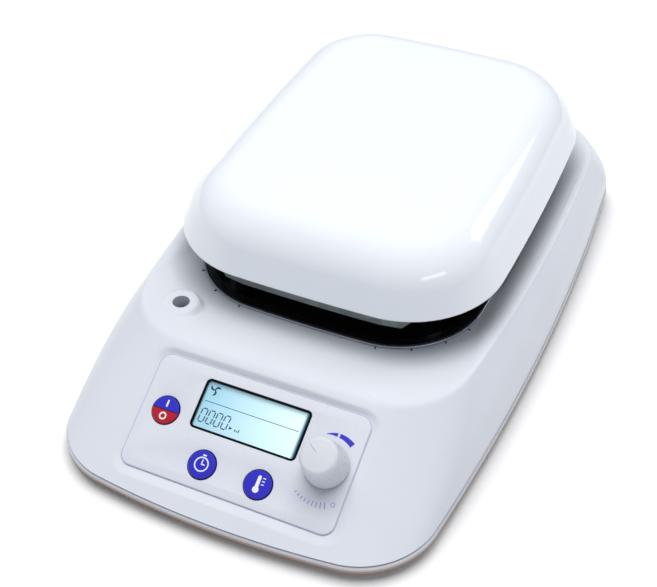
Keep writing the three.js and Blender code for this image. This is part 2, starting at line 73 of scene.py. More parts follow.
RIM_Z = shell_high.z
SHELL_FOOT_Z = shell_low.z
WELL_Z = 40.6 * MM
WALL = 2.6 * MM
TRIM_WIDTH = 0.8 * MM
plate_y = (plate_low.y + plate_high.y) / 2

Shape = namedtuple("Shape", "half_width front rear side_r front_r rear_r front_corner rear_corner wide_y")
TRAY = Shape(tray_high.x, tray_low.y, tray_high.y, 1.330, 0.480, 5.000, 0.040, 0.025, 0.029)
FOOT = TRAY._replace(half_width=shell_high.x, front=shell_low.y, rear=shell_high.y)
WAIST = Shape(0.1034, -0.13475, 0.1644, 1.200, 0.715, 2.300, 0.050, 0.033, 0.0445)
RIM = Shape(0.0946, -0.1008, 0.1589, 1.100, 1.400, 1.500, 0.038, 0.040, 0.060)
WELL = Shape(trim_high.x - TRIM_WIDTH, trim_low.y + TRIM_WIDTH, trim_high.y - TRIM_WIDTH,
             1.500, 0.800, 0.800, 0.046, 0.046, plate_y)
PLATE = Shape(plate_high.x, plate_low.y, plate_high.y, 1.480, 1.200, 0.750, 0.0503, 0.0509, plate_y)

ROD = Vector(middle(rod_low, rod_high))
ROD_HOLE_R = 4.35 * MM
ROD_BOSS_R = 9.7 * MM

# The panel's own frame: x to the right, y up the slope, z out of it, from the joint of the knob.
knob_joint = next(j for j in frame["joints"] if j["name"] == "knob_turn")
KNOB_AT = (42.2 * MM, -9.5 * MM)
panel_out = Vector(knob_joint["axis"]).normalized()
panel_up = panel_out.cross(Vector((1, 0, 0)))
panel_origin = Vector(knob_joint["pos_m"]) - Vector((1, 0, 0)) * KNOB_AT[0] - panel_up * KNOB_AT[1]
PANEL = Matrix((
    (1, panel_up.x, panel_out.x, panel_origin.x),
    (0, panel_up.y, panel_out.y, panel_origin.y),
    (0, panel_up.z, panel_out.z, panel_origin.z),
    (0, 0, 0, 1),
))


def panel_box(node):
    """Lowest and highest corner of a CAD node in the panel's own frame."""
    inverse = PANEL.inverted()
    points = np.array([inverse @ v.co for v in frame["nodes"][node].data.vertices])
    return Vector(points.min(0)), Vector(points.max(0))


# ---- materials ----

class Paint:
    """A Principled material, with short calls for the nodes that feed it."""

    def __init__(self, name, colour, roughness, **inputs):
        self.material = bpy.data.materials.new(name)
        self.material.use_nodes = True
        self.tree = self.material.node_tree
        self.shader = self.tree.nodes["Principled BSDF"]
        self.coordinates = self.tree.nodes.new("ShaderNodeTexCoord").outputs["Object"]
        self.colour = colour
        self.set("Base Color", (*colour, 1))
        self.set("Roughness", roughness)
        for key, value in inputs.items():
            self.set(key.replace("_", " "), value)

    def feed(self, socket, value):
        """Links another node's output to the socket, or sets the socket's own value."""
        if isinstance(value, bpy.types.NodeSocket):
            self.tree.links.new(value, socket)
        else:
            socket.default_value = value

    def set(self, key, value):
        self.feed(self.shader.inputs[key], value)

    def node(self, kind, inputs, **settings):
        node = self.tree.nodes.new(kind)
        for key, value in settings.items():
            setattr(node, key, value)
        for key, value in inputs.items():
            self.feed(node.inputs[key], value)
        return node

    def stretched(self, scale):
        return self.node("ShaderNodeMapping", {"Vector": self.coordinates, "Scale": scale}).outputs[0]

    def noise(self, scale, detail=2.0, source=None):
        inputs = {"Vector": source or self.coordinates, "Scale": scale, "Detail": detail}
        return self.node("ShaderNodeTexNoise", inputs).outputs["Fac"]

    def cells(self, scale, feature="F1", output="Distance"):
        inputs = {"Vector": self.coordinates, "Scale": scale}
        return self.node("ShaderNodeTexVoronoi", inputs, feature=feature).outputs[output]

    def spread(self, source, low, high, start=0.3, end=0.7):
        inputs = {"Value": source, "From Min": start, "From Max": end, "To Min": low, "To Max": high}
        return self.node("ShaderNodeMapRange", inputs).outputs[0]

    def mixed(self, factor, a, b):
        """A mix of two colours, through the colour sockets of the Mix node."""
        return self.node("ShaderNodeMix", {0: factor, 6: a, 7: b}, data_type="RGBA").outputs[2]

    def tint(self, factor, a, b):
        self.set("Base Color", self.mixed(factor, (*a, 1), (*b, 1)))

    def mottle(self, scale, detail, other):
        """Soft patches of another colour in the paint's own."""
        self.tint(self.spread(self.noise(scale, detail), 0, 1), self.colour, other)

    def gloss(self, scale, detail, low, high):
        """Soft patches of low and high roughness."""
        self.set("Roughness", self.spread(self.noise(scale, detail), low, high))

    def bump(self, height, distance, strength=1.0):
        last = self.shader.inputs["Normal"].links
        inputs = {"Height": height, "Distance": distance, "Strength": strength}
        if last:
            inputs["Normal"] = last[0].from_socket
        self.set("Normal", self.node("ShaderNodeBump", inputs).outputs[0])

    def along(self, axis):
        return self.node("ShaderNodeSeparateXYZ", {"Vector": self.coordinates}).outputs[axis]


def moulded_plastic(name, colour, roughness, coat=0.0):
    """Injection-moulded plastic: fine spark-eroded grain, faint mottling in gloss and colour."""
    paint = Paint(name, colour, roughness, Coat_Weight=coat, Coat_Roughness=0.12)
    paint.mottle(22, 3, tuple(c * 0.965 for c in colour))
    paint.set("Roughness", paint.spread(paint.noise(30, 1), roughness - 0.03, roughness + 0.04, 0.2, 0.8))
    paint.bump(paint.noise(700, 0), 0.000006, 0.25)
    return paint


def tray_moulding(low_z, high_z):
    """The same plastic with a warm, darker lower band painted in: the reflection of a brown table and the shade
    where the tray curves under.
    """
    paint = moulded_plastic("tray_plastic", (0.62, 0.62, 0.66), 0.34)
    # Painted reflection and shade: the colour turns brown towards the bottom edge of the tray.
    warm = paint.spread(paint.along("Z"), 1, 0, low_z + 2.5 * MM, high_z - 0.9 * MM)
    patches = paint.spread(paint.noise(22, 3), 0, 1)
    grey = paint.mixed(patches, (*paint.colour, 1), (0.58, 0.58, 0.63, 1))
    paint.set("Base Color", paint.mixed(warm, grey, (0.36, 0.24, 0.165, 1)))
    return paint


def glazed_white():
    """Thick fired glaze: mirror gloss over a very slight waviness, with pin-size specks."""
    paint = Paint("glaze_white", (0.85, 0.87, 0.91), 0.09, Coat_Weight=0.5, Coat_Roughness=0.03)
    paint.mottle(9, 3, (0.83, 0.852, 0.90))
    paint.gloss(45, 4, 0.07, 0.13)
    paint.bump(paint.noise(38, 2), 0.00012, 0.12)
    paint.bump(paint.noise(700, 2), 0.00001, 0.25)
    return paint


def black_enamel():
    """Black stove enamel with orange peel and a little dust."""
    paint = Paint("black_enamel", (0.006, 0.006, 0.007), 0.22, Coat_Weight=0.35, Coat_Roughness=0.08)
    dust = paint.spread(paint.noise(420, 6), 0, 1, 0.62, 0.8)
    paint.tint(dust, paint.colour, (0.05, 0.05, 0.052))
    paint.gloss(60, 3, 0.18, 0.3)
    paint.bump(paint.noise(260, 2), 0.00004, 0.3)
    return paint


def brushed_metal(name, colour, roughness, grain=(60, 1500, 1500)):
    """Metal with fine lines along X and soft blotches in its gloss."""
    paint = Paint(name, colour, roughness, Metallic=1.0)
    lines = paint.noise(1.0, 3, paint.stretched(grain))
    paint.mottle(35, 3, tuple(c * 0.86 for c in colour))
    paint.set("Roughness", paint.spread(lines, roughness - 0.07, roughness + 0.1))
    paint.bump(lines, 0.00002, 0.4)
    return paint


def zinc_sheet():
    """Zinc-plated sheet, its colours darkened as painted shade for the shadow under the plate: faint spangle,
    streaks from rolling and dull patches.
    """
    # Painted shade: the base colour and both spangle tints are made dark for the shadow under the plate.
    paint = Paint("zinc_sheet", (0.21, 0.24, 0.23), 0.3, Metallic=1.0)
    spangle = paint.cells(140, output="Color")
    paint.tint(paint.spread(spangle, 0, 1, 0.1, 0.9), (0.24, 0.275, 0.265), (0.16, 0.185, 0.18))
    paint.gloss(55, 5, 0.22, 0.42)
    paint.bump(paint.noise(1.0, 2, paint.stretched((40, 900, 900))), 0.00002, 0.3)
    return paint


def printed_film():
    """Satin polycarbonate film over a white print."""
    paint = Paint("printed_film", (0.695, 0.71, 0.77), 0.3)
    paint.mottle(30, 3, (0.67, 0.69, 0.755))
    paint.gloss(500, 3, 0.26, 0.36)
    paint.bump(paint.noise(2600, 2), 0.000012, 0.5)
    return paint


def ink(name, colour):
    """Screen-printed ink with slightly uneven coverage."""
    paint = Paint(name, colour, 0.45)
    paint.mottle(900, 4, tuple(c * 0.9 + 0.01 for c in colour))
    paint.bump(paint.noise(3000, 2), 0.000008, 0.4)
    return paint


def display_face(low_x, high_x):
    """Backlit display: pale cyan with painted shading, darker on the left and lighter towards the right, and a
    dark strip near the right edge painted as the reflection of the frame's inner wall.
    """
    paint = Paint("display_face", (0.5, 0.72, 0.78), 0.25)
    width = high_x - low_x
    across = paint.along("X")
    # Painted shading: the colour runs from darker on the left to lighter on the right.
    painted_light_gradient = paint.spread(across, 0, 1, low_x + 0.1 * width, high_x - 0.09 * width)
    body = paint.mixed(painted_light_gradient, (0.34, 0.57, 0.71, 1), (0.74, 0.90, 0.94, 1))
    # Painted reflection: a dark strip near the right edge for the frame's inner wall mirrored in the window.
    edge = paint.spread(across, 0, 1, high_x - 0.045 * width, high_x - 0.02 * width)
    haze = paint.spread(paint.noise(60, 2), 0, 0.12)
    body = paint.mixed(haze, body, (0.75, 0.9, 0.93, 1))
    colour = paint.mixed(edge, body, (0.012, 0.085, 0.14, 1))
    paint.set("Base Color", colour)
    # The emission takes the same colour, so the painted shading and reflection glow with it.
    paint.set("Emission Color", colour)
    paint.set("Emission Strength", 0.36)
    paint.bump(paint.noise(2400, 2), 0.000006, 0.3)
    return paint


def clear_window():
    paint = Paint("clear_window", (0.93, 0.98, 0.985), 0.02, Transmission_Weight=1.0, IOR=1.3)
    paint.gloss(80, 3, 0.01, 0.035)
    return paint


def rubber():
    paint = Paint("foot_rubber", (0.022, 0.022, 0.024), 0.8)
    paint.mottle(150, 4, (0.05, 0.049, 0.047))
    paint.bump(paint.noise(1800, 4), 0.00005, 0.7)
    return paint


def circuit_board():
    """Green solder mask over copper tracks."""
    paint = Paint("circuit_board", (0.02, 0.15, 0.06), 0.35, Coat_Weight=0.4)
    tracks = paint.cells(160, "DISTANCE_TO_EDGE")
    paint.tint(paint.spread(tracks, 1, 0, 0.04, 0.09), (0.015, 0.11, 0.045), (0.05, 0.24, 0.09))
    paint.bump(tracks, 0.00005, 0.4)
    return paint


def wound_coil():
    """Varnished windings between dark laminations."""
    paint = Paint("wound_coil", (0.22, 0.11, 0.04), 0.4, Coat_Weight=0.6)
    inputs = {"Vector": paint.coordinates, "Scale": 420.0, "Distortion": 0.6}
    waves = paint.node("ShaderNodeTexWave", inputs, bands_direction="Z").outputs["Fac"]
    paint.tint(waves, (0.09, 0.045, 0.02), (0.32, 0.16, 0.06))
    paint.bump(waves, 0.0001, 0.6)
    return paint


def fibre_felt():
    paint = Paint("fibre_felt", (0.66, 0.62, 0.52), 0.95)
    fibres = paint.noise(1.0, 6, paint.stretched((300, 2600, 1200)))
    paint.tint(paint.spread(fibres, 0, 1), (0.72, 0.69, 0.60), (0.52, 0.48, 0.38))
    paint.bump(fibres, 0.0004, 0.8)
    return paint


def mica_sheet():
    paint = Paint("mica_sheet", (0.32, 0.2, 0.1), 0.5, Coat_Weight=0.3)
    flakes = paint.cells(260, output="Color")
    paint.tint(paint.spread(flakes, 0, 1, 0.2, 0.8), (0.38, 0.25, 0.13), (0.2, 0.12, 0.06))
    paint.bump(paint.cells(260), 0.0001, 0.4)
    return paint


housing_plastic = moulded_plastic("housing_plastic", (0.70, 0.72, 0.775), 0.3, coat=0.15)
tray_plastic = tray_moulding(tray_low.z, tray_high.z)
glaze = glazed_white()
enamel = black_enamel()
trim_metal = brushed_metal("trim_metal", (0.50, 0.52, 0.56), 0.3)
turned_steel = brushed_metal("turned_steel", (0.56, 0.57, 0.59), 0.3, (900, 900, 900))
# Painted shade: this steel is made dark blue-grey for the shade deep in the rod hole.
socket_steel = brushed_metal("socket_steel", (0.10, 0.12, 0.19), 0.45, (900, 900, 60))
film = printed_film()
frame_black = moulded_plastic("frame_black", (0.002, 0.002, 0.003), 0.5)
frame_black.set("Specular IOR Level", 0.15)
window_clear = clear_window()
blue_cap = moulded_plastic("blue_cap", (0.030, 0.026, 0.52), 0.33)
red_cap = moulded_plastic("red_cap", (0.47, 0.008, 0.025), 0.33)
knob_plastic = moulded_plastic("knob_plastic", (0.68, 0.695, 0.735), 0.36)
black_plastic = moulded_plastic("black_plastic", (0.012, 0.012, 0.013), 0.42)
brass = brushed_metal("brass_plated", (0.72, 0.52, 0.24), 0.25)
foot_rubber = rubber()
white_ink = ink("white_ink", (0.86, 0.87, 0.9))
blue_ink = ink("blue_ink", (0.045, 0.04, 0.56))
violet_ink = ink("violet_ink", (0.36, 0.36, 0.70))
border_ink = ink("border_ink", (0.47, 0.49, 0.68))
black_ink = ink("black_ink", (0.006, 0.006, 0.01))
lcd_ink = ink("lcd_ink", (0.02, 0.06, 0.10))

SLOT_PAINTS = {
    "housing": housing_plastic, "glaze": glaze, "black_enamel": enamel, "trim_metal": trim_metal,
    "tray_steel": zinc_sheet(), "socket_steel": turned_steel, "overlay_film": film,
    "lcd_frame": frame_black, "lcd_glass": window_clear, "lcd_display": window_clear,
    "power_cap": red_cap, "blue_cap": blue_cap, "knob": knob_plastic, "black_plastic": black_plastic,
    "brass": brass, "magnet": brushed_metal("magnet_nickel", (0.70, 0.70, 0.71), 0.15),
    "board": circuit_board(), "coil": wound_coil(), "heater_mica": mica_sheet(),
    "relay_case": moulded_plastic("relay_blue", (0.03, 0.11, 0.4), 0.35),
    "insulation": fibre_felt(), "foot_rubber": foot_rubber,
}


# ---- mesh helpers ----

def link(thing):
    bpy.context.scene.collection.objects.link(thing)


def smooth(t):
    t = np.clip(t, 0, 1)
    return t * t * (3 - 2 * t)


def arc(centre, radius, start, end, steps, close=False):
    angles = np.linspace(start, end, steps + 1)
    if not close:
        angles = angles[:-1]
    return np.stack([centre[0] + radius * np.cos(angles), centre[1] + radius * np.sin(angles)], 1)


def circle(radius, centre=(0, 0), steps=48):
    return arc(centre, radius, 0, 2 * math.pi, steps)


def circle_crossing(p, a, q, b, near):
    """The point where circles of radius a about p and radius b about q cross, close to near."""
    distance = np.linalg.norm(q - p)
    along = (a * a - b * b + distance * distance) / (2 * distance)
    off = math.sqrt(a * a - along * along)
    unit = (q - p) / distance
    normal = np.array([-unit[1], unit[0]])
    options = [p + unit * along + normal * off, p + unit * along - normal * off]
    return min(options, key=lambda point: np.linalg.norm(point - near))


Steps = namedtuple("Steps", "end corner side")
FINE = Steps(20, 28, 30)
DENSE = Steps(110, 52, 34)


def bowed_outline(shape, inset=0.0, steps=FINE):
    """Closed outline from above: four large arcs joined by four tangent corner arcs."""
    side_r, front_r, rear_r = shape.side_r - inset, shape.front_r - inset, shape.rear_r - inset
    corner_f, corner_r = max(shape.front_corner - inset, MM), max(shape.rear_corner - inset, MM)
    side = np.array([shape.half_width - shape.side_r, shape.wide_y])
    front = np.array([0, shape.front + shape.front_r])
    rear = np.array([0, shape.rear - shape.rear_r])
    near, far = (np.array([shape.half_width, y]) for y in (shape.front, shape.rear))
    f = circle_crossing(side, side_r - corner_f, front, front_r - corner_f, near)
    r = circle_crossing(side, side_r - corner_r, rear, rear_r - corner_r, far)

    def bearing(centre, point):
        return math.atan2(point[1] - centre[1], point[0] - centre[0])

    half = np.concatenate([
        arc(front, front_r, -math.pi / 2, bearing(front, f), steps.end),
        arc(f, corner_f, bearing(front, f), bearing(side, f), steps.corner),
        arc(side, side_r, bearing(side, f), bearing(side, r), steps.side),
        arc(r, corner_r, bearing(side, r), bearing(rear, r), steps.corner),
        arc(rear, rear_r, bearing(rear, r), math.pi / 2, steps.end, close=True),
    ])
    mirrored = half[1:-1][::-1] * (-1, 1)
    return np.concatenate([half, mirrored])


def rings_around(shape, section, steps=FINE):
    """Rings from (inset in millimetres, height in metres) points round a bowed outline."""
    return [ring(bowed_outline(shape, inset * MM, steps), z) for inset, z in section]


def rounded_rectangle(x0, x1, y0, y1, radius, steps=10):
    x0, x1, y0, y1 = x0 + radius, x1 - radius, y0 + radius, y1 - radius
    corners = ((x1, y0), (x1, y1), (x0, y1), (x0, y0))
    starts = np.radians((-90, 0, 90, 180))
    return np.concatenate([arc(corner, radius, start, start + math.pi / 2, steps, True)
                           for corner, start in zip(corners, starts)])


def ring(outline, z):
    return np.column_stack([outline, np.full(len(outline), z)])


def make_object(name, points, faces, paints, matrix=None, angle=32.0):
    """A smooth-shaded object at the origin. Edges sharper than angle stay sharp."""
    mesh = bpy.data.meshes.new(name)
    mesh.from_pydata([tuple(p) for p in points], [], [tuple(int(i) for i in f) for f in faces])
    if matrix is not None:
        mesh.transform(matrix)
    for paint in paints if isinstance(paints, (list, tuple)) else [paints]:
        mesh.materials.append(paint.material)
    mesh.validate()
    finish_mesh(mesh, angle)
    thing = bpy.data.objects.new(name, mesh)
    link(thing)
    return thing


def finish_mesh(mesh, angle):
    work = bmesh.new()
    work.from_mesh(mesh)
    bmesh.ops.recalc_face_normals(work, faces=work.faces)
    work.to_mesh(mesh)
    work.free()
    mesh.shade_smooth()
    mesh.set_sharp_from_angle(angle=math.radians(angle))


def loft(name, rings, paints, sleeve=False, **options):
    """A skin over equal rings. A sleeve joins its last ring to its first, any other is capped."""
    rows, count = len(rings), len(rings[0])
    faces = []
    for i in range(rows if sleeve else rows - 1):
        low, high = i * count, ((i + 1) % rows) * count
        for j in range(count):
            k = (j + 1) % count
            faces.append((low + j, low + k, high + k, high + j))
    if not sleeve:
        faces.append(tuple(reversed(range(count))))
        faces.append(tuple(range((rows - 1) * count, rows * count)))
    return make_object(name, np.concatenate(rings), faces, paints, **options)


def prism(name, outline, low_z, high_z, paints, **options):
    """A straight solid between two heights."""
    return loft(name, [ring(outline, z) for z in (low_z, high_z)], paints, **options)


def lathe(name, profile, paints, centre=(0, 0), steps=64, **options):
    """A turned piece about the vertical axis at centre, from (radius, height) points."""
    turn = circle(1.0, steps=steps)
    closed = profile[0] == profile[-1]
    points, rows = [], []
    for radius, height in profile[:-1] if closed else profile:
        start = len(points)
        if radius == 0:
            points.append((centre[0], centre[1], height))
            rows.append([start] * steps)
        else:
            points.extend((centre[0] + radius * x, centre[1] + radius * y, height) for x, y in turn)
            rows.append(list(range(start, start + steps)))
    pairs = list(zip(rows, rows[1:])) + ([(rows[-1], rows[0])] if closed else [])
    faces = []
    for low, high in pairs:
        for j in range(steps):
            k = (j + 1) % steps
            faces.append(tuple(dict.fromkeys((low[j], low[k], high[k], high[j]))))
    return make_object(name, points, faces, paints, **options)


def from_bmesh(name, work, paints, matrix):
    work.verts.index_update()
    points = [v.co.copy() for v in work.verts]
    faces = [[v.index for v in f.verts] for f in work.faces]
    work.free()
    return make_object(name, points, faces, paints, matrix)


def evaluated_mesh(thing):
    """The mesh of a curve, or of an object with its modifiers applied."""
    bpy.context.view_layer.update()
    depsgraph = bpy.context.evaluated_depsgraph_get()
    return bpy.data.meshes.new_from_object(thing.evaluated_get(depsgraph))


def cut_sheet(name, outlines, z0, z1, paints, matrix=None, bevel=0.0):
    """A flat piece from closed outlines. An outline inside another is a hole."""
    curve = bpy.data.curves.new(name, "CURVE")
    curve.dimensions = "2D"
    curve.fill_mode = "BOTH"
    curve.extrude = (z1 - z0) / 2 - bevel
    curve.bevel_depth = bevel
    curve.bevel_resolution = 2
    curve.offset = -bevel
    for outline in outlines:
        spline = curve.splines.new("POLY")
        spline.points.add(len(outline) - 1)
        for point, (x, y) in zip(spline.points, outline):
            point.co = (x, y, 0, 1)
        spline.use_cyclic_u = True
    source = bpy.data.objects.new(name, curve)
    link(source)
    flat = evaluated_mesh(source)
    bpy.data.objects.remove(source)
    bpy.data.curves.remove(curve)
    work = bmesh.new()
    work.from_mesh(flat)
    bpy.data.meshes.remove(flat)
    bmesh.ops.remove_doubles(work, verts=work.verts, dist=0.002 * MM)
    bmesh.ops.translate(work, verts=work.verts, vec=(0, 0, (z0 + z1) / 2))
    return from_bmesh(name, work, paints, matrix)


def block(name, low, high, paints, bevel=0.4 * MM, matrix=None):
    """A box with rounded edges."""
    work = bmesh.new()
    bmesh.ops.create_cube(work, size=1)
    for v in work.verts:
        v.co = [low[i] + (high[i] - low[i]) * (v.co[i] + 0.5) for i in range(3)]
    if bevel:
        bmesh.ops.bevel(work, geom=work.edges[:], offset=bevel, segments=3, profile=0.5, affect="EDGES")
    return from_bmesh(name, work, paints, matrix)


def turned(x, y, z, angle):
    """A frame at a point, turned about the vertical axis by an angle in degrees."""
    return Matrix.Translation((x, y, z)) @ Matrix.Rotation(math.radians(angle), 4, "Z")


def joined(name, parts):
    """One object from several, keeping their materials."""
    base = parts[0]
    with bpy.context.temp_override(active_object=base, selected_editable_objects=parts):
        bpy.ops.object.join()
    base.name = base.data.name = name
    return base


def boolean(target, cutter, operation="DIFFERENCE", angle=32.0):
    """Applies a boolean to target's mesh and removes the cutter."""
    modifier = target.modifiers.new("cut", "BOOLEAN")
    modifier.operation = operation
    modifier.object = cutter
    modifier.solver = "EXACT"
    result = evaluated_mesh(target)
    target.modifiers.clear()
    target.data = result
    bpy.data.objects.remove(cutter)
    result.shade_smooth()
    result.set_sharp_from_angle(angle=math.radians(angle))


def place(thing, slot, *nodes, body=CHASSIS):
    """The piece rides a body and stands for CAD nodes, which it hides. Its slot is not used."""
    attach(thing, body)
    if nodes:
        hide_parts(*nodes)


# ---- camera, lights and floor ----

def add_camera():
    azimuth, elevation, roll = (math.radians(angle) for angle in (25.31, 42.02, -1.18))
    aim = Vector((0, 0.0433, 0.0682))
    shift_right, shift_up, distance = -0.0322, -0.0689, 0.6396
    right = Vector((math.cos(azimuth), math.sin(azimuth), 0))
    back = Vector((math.sin(azimuth) * math.cos(elevation), -math.cos(azimuth) * math.cos(elevation),
                   math.sin(elevation)))
    up = back.cross(right)
    rolled_right = right * math.cos(roll) + up * math.sin(roll)
    rolled_up = up * math.cos(roll) - right * math.sin(roll)
    data = bpy.data.cameras.new("camera")
    data.lens = 65.02
    data.sensor_width = 36
    camera = bpy.data.objects.new("camera", data)
    camera.matrix_world = Matrix((
        (rolled_right.x, rolled_up.x, back.x, 0),
        (rolled_right.y, rolled_up.y, back.y, 0),
        (rolled_right.z, rolled_up.z, back.z, 0),
        (0, 0, 0, 1),
    ))
    camera.location = aim + rolled_right * shift_right + rolled_up * shift_up + back * distance
    link(camera)
    bpy.context.scene.camera = camera


def add_light(name, location, target, size, power, colour=(1, 1, 1), reflected=True):
    data = bpy.data.lights.new(name, "AREA")
    data.shape = "RECTANGLE"
    data.size, data.size_y = size
    data.energy = power
    data.color = colour
    light = bpy.data.objects.new(name, data)
    light.location = location
    light.visible_glossy = reflected
    light.visible_transmission = False
    light.rotation_euler = (Vector(target) - Vector(location)).to_track_quat("-Z", "Y").to_euler()
    link(light)


def add_stage():
    scene = bpy.context.scene
    scene.view_settings.view_transform = "Standard"
    world = bpy.data.worlds.new("studio")
    world.use_nodes = True
    sky = world.node_tree.nodes["Background"].inputs
    sky["Color"].default_value = (0.78, 0.88, 1.0, 1)
    sky["Strength"].default_value = 0.35
    scene.world = world
    warm = (1, 0.985, 0.96)
    add_light("overhead", (-0.15, 0.2, 2.2), (0, 0, 0), (2.0, 1.8), 53.0, warm, reflected=False)
    add_light("rear_strip", (1.0, 1.2, 0.9), (0.05, 0.05, 0.05), (0.6, 0.5), 1.6)
    add_light("right_key", (0.75, -0.55, 0.62), (0.02, -0.06, 0.04), (0.5, 0.1), 0.5, (1, 0.98, 0.95))
    paint = Paint("pale_floor", (0.93, 0.93, 0.94), 0.7)
    paint.bump(paint.noise(300, 3), 0.0001, 0.1)
    size = 6.0
    corners = [(-size, -size, 0), (size, -size, 0), (size, size, 0), (-size, size, 0)]
    make_object("floor", corners, [(0, 1, 2, 3)], paint)


# ---- housing ----

overlay_low, overlay_high = panel_box("control_overlay")
OVERLAY_SIDES = (overlay_low.x, overlay_high.x, overlay_low.y, overlay_high.y)
RECESS_FLOOR = overlay_low.z - 0.3 * MM
RECESS = dict(side=4.4 * MM, top=3.0 * MM, bottom=5.0 * MM)


def rectangle_distance(x, y, x0, x1, y0, y1, radius):
    """Signed distance to a rounded rectangle, negative inside."""
    qx = np.abs(x - (x0 + x1) / 2) - (x1 - x0) / 2 + radius
    qy = np.abs(y - (y0 + y1) / 2) - (y1 - y0) / 2 + radius
    outside = np.hypot(np.maximum(qx, 0), np.maximum(qy, 0))
    return outside + np.minimum(np.maximum(qx, qy), 0) - radius


def press_recess(points):
    """Presses the shallow panel recess, with its sloping border, into points on the front slope."""
    inverse = np.array(PANEL.inverted())
    local = points @ inverse[:3, :3].T + inverse[:3, 3]
    x, y, n = local.T
    x0, x1, y0, y1 = OVERLAY_SIDES
    gap = 0.3 * MM
    near = rectangle_distance(x, y, x0 - gap, x1 + gap, y0 - gap, y1 + gap, 6.2 * MM)
    far = rectangle_distance(x, y, x0 - RECESS["side"], x1 + RECESS["side"], y0 - RECESS["bottom"],
                             y1 + RECESS["top"], 10 * MM)
    climb = np.maximum(near, 0) / np.maximum(np.maximum(near, 0) - far, 1e-9)
    weight = 1 - (0.8 * climb + 0.2 * smooth(climb))
    weight = np.where(far > 0, 0, weight)
    local[:, 2] = n * (1 - weight) + RECESS_FLOOR * weight
    forward = np.array(PANEL)
    return local @ forward[:3, :3].T + forward[:3, 3]


def raise_boss(points):
    """Raises the round boss of the rod socket, with a soft edge and a countersunk hole."""
    distance = np.hypot(points[:, 0] - ROD.x, points[:, 1] - ROD.y)
    weight = 1 - smooth((distance - ROD_BOSS_R + 1.3 * MM) / (3.2 * MM))
    top = RIM_Z - 0.05 * MM
    raised = points.copy()
    raised[:, 2] += (top - points[:, 2]) * weight
    sink = 1 - smooth((distance - ROD_HOLE_R + 0.1 * MM) / (0.9 * MM))
    raised[:, 2] -= sink * 0.45 * MM
    return raised


def lengths(vectors):
    return np.linalg.norm(vectors, axis=1)


def wall_outline(outlines, s):
    """An outline on a wall that curves through three others: foot, half way up and top."""
    foot, waist, top = outlines
    return foot * (1 - s) * (1 - 2 * s) + waist * 4 * s * (1 - s) + top * s * (2 * s - 1)


def outer_skin():
    """Rows of points from the foot of the wall, over the rim and down the dished deck to the well."""
    wall = [bowed_outline(shape, 0, DENSE) for shape in (FOOT, WAIST, RIM)]
    rim = wall[2]
    well = bowed_outline(WELL, 0, DENSE)
    low_z = SHELL_FOOT_Z + 0.5 * MM
    high = ring(rim, RIM_Z)
    deck_in = ring(rim + (well - rim) * 0.12, RIM_Z - 0.1 * MM)
    shoulder = 0.96
    start = ring(wall_outline(wall, shoulder), low_z + (RIM_Z - low_z) * shoulder)
    inward = (deck_in - high) / lengths(deck_in - high)[:, None]
    reach = np.minimum(1.6 * MM, 0.12 * lengths(well - rim))
    end = high + inward * reach[:, None]
    rows = [ring(bowed_outline(FOOT, 0.35 * MM, DENSE), SHELL_FOOT_Z)]
    for s in np.linspace(0, shoulder, 132):
        rows.append(press_recess(ring(wall_outline(wall, s), low_z + (RIM_Z - low_z) * s)))
    for t in np.linspace(0, 1, 9)[1:]:
        rows.append(press_recess(start * (1 - t) ** 2 + high * 2 * t * (1 - t) + end * t * t))
    first = lengths((end - high)[:, :2]) / lengths(well - rim)
    for step in np.linspace(0, 1, 44)[1:]:
        t = first + (1 - first) * step
        flat = rim + (well - rim) * t[:, None]
        drop = (RIM_Z - WELL_Z) * smooth(t) ** 1.15
        level = end[:, 2] + (RIM_Z - drop - end[:, 2]) * smooth(step * 6)
        rows.append(np.column_stack([flat, level]))
    return [raise_boss(row) for row in rows]


def inner_skin():
    """The inside of the shell, from the well's opening back down to the foot of the wall."""
    hollow = []
    for shape, front in ((FOOT, 8 * MM), (WAIST, 6.5 * MM), (RIM, 5 * MM)):
        inside = shape._replace(half_width=shape.half_width - WALL, front=shape.front + front,
                                rear=shape.rear - WALL)
        hollow.append(bowed_outline(inside, 0, DENSE))
    ledge, underside = WELL_Z - 0.05 * MM, WELL_Z - WALL
    rows = rings_around(WELL, [(0.3, ledge), (4, ledge), (4, underside), (-4, underside)], DENSE)
    height = RIM_Z - 3.3 * MM - SHELL_FOOT_Z
    for s in (1, 0.8, 0.6, 0.4, 0.2, 0):
        rows.append(ring(wall_outline(hollow, s), SHELL_FOOT_Z + height * s))
    return rows


def local_centre(node):
    return middle(*panel_box(node))


BUTTON_R = 6.7 * MM
inlet_low, inlet_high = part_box("iec_inlet")
drawer_low, drawer_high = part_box("fuse_drawer")
INLET_FACE_Y = inlet_high.y
PAD_Y = INLET_FACE_Y - 2.8 * MM
bezel_low, bezel_high = panel_box("lcd_bezel")


def bezel_outline(shrink):
    return rounded_rectangle(bezel_low.x + shrink, bezel_high.x - shrink, bezel_low.y + shrink,
                             bezel_high.y - shrink, max(2.4 * MM - shrink, 0.8 * MM), 8)


def button_holes():
    return [circle(BUTTON_R + 0.3 * MM, local_centre(node)) for node in BUTTON_NODES]


def shell_cutters():
    """Everything cut through the shell: display, buttons, knob bush, rod hole and mains inlet."""
    outlines = [bezel_outline(-0.15 * MM), *button_holes(), circle(4.8 * MM, KNOB_AT)]
    parts = [prism("cut_panel", outline, -12 * MM, 3 * MM, housing_plastic, matrix=PANEL)
             for outline in outlines]
    parts.append(prism("cut_rod", circle(ROD_HOLE_R, ROD), 10 * MM, 60 * MM, housing_plastic))
    hole_low = (inlet_low.x + 2 * MM, PAD_Y - 12 * MM, inlet_low.z + 2 * MM)
    hole_high = (inlet_high.x - 2 * MM, PAD_Y + 8 * MM, inlet_high.z - 2 * MM)
    parts.append(block("cut_inlet", hole_low, hole_high, housing_plastic, bevel=1 * MM))
    return joined("shell_cutters", parts)


